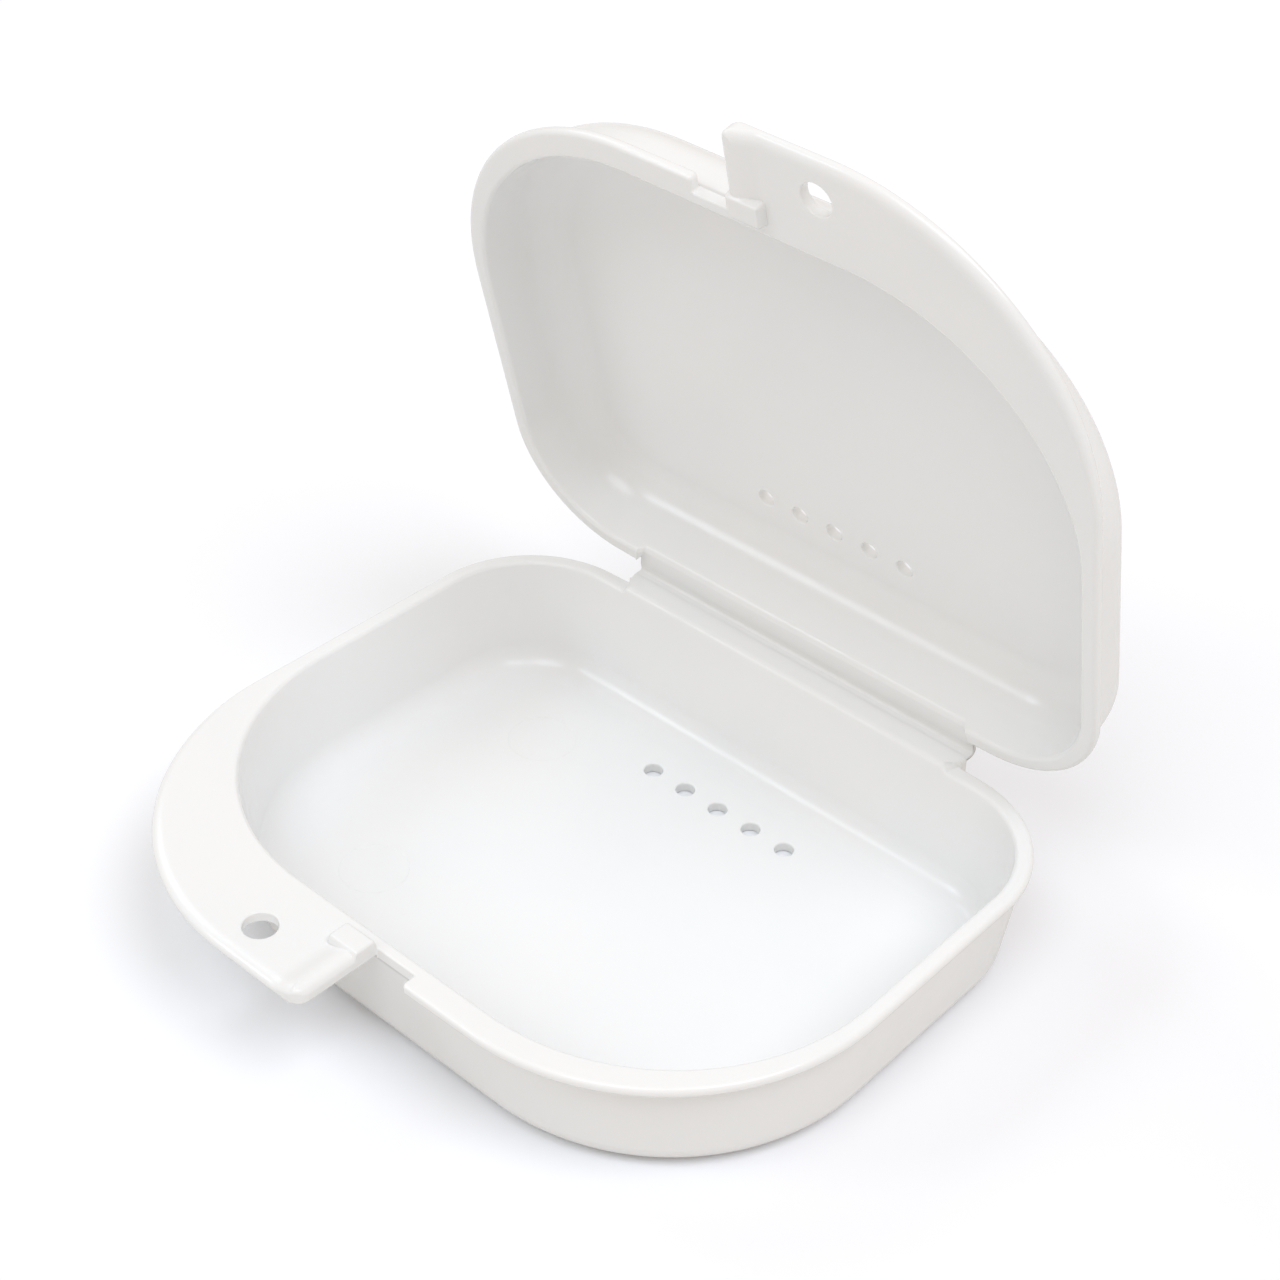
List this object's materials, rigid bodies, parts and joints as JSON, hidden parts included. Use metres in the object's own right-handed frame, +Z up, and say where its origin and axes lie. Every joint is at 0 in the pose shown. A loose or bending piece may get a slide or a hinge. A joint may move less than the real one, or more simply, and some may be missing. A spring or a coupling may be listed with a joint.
{
  "type": "retainer case",
  "caption": "Rounded clamshell case in moulded plastic for a dental retainer, with a living hinge, offset thumb flanges that snap together, strap holes and floor vents.",
  "frame": {"origin": "middle of the base tray's flat underside, which is also the table", "axes": "+X along the hinge, +Y from the catch side to the hinge side, +Z up out of the base tray"},
  "size_m": [0.0758, 0.0745, 0.0806],
  "materials": {
    "white_plastic": "moulded, glossy inside, satin outside"
  },
  "bodies": {
    "base": {"base_tray": "white_plastic", "hinge_web_base": "white_plastic"},
    "lid": {"lid_tray": "white_plastic", "hinge_web_lid": "white_plastic"}
  },
  "joints": [
    {"name": "lid_hinge", "type": "hinge", "parent": "base", "child": "lid", "pos_m": [0, 0.03065, 0.01432], "axis": [-1, 0, 0], "range_deg": [-76, 104]}
  ]
}
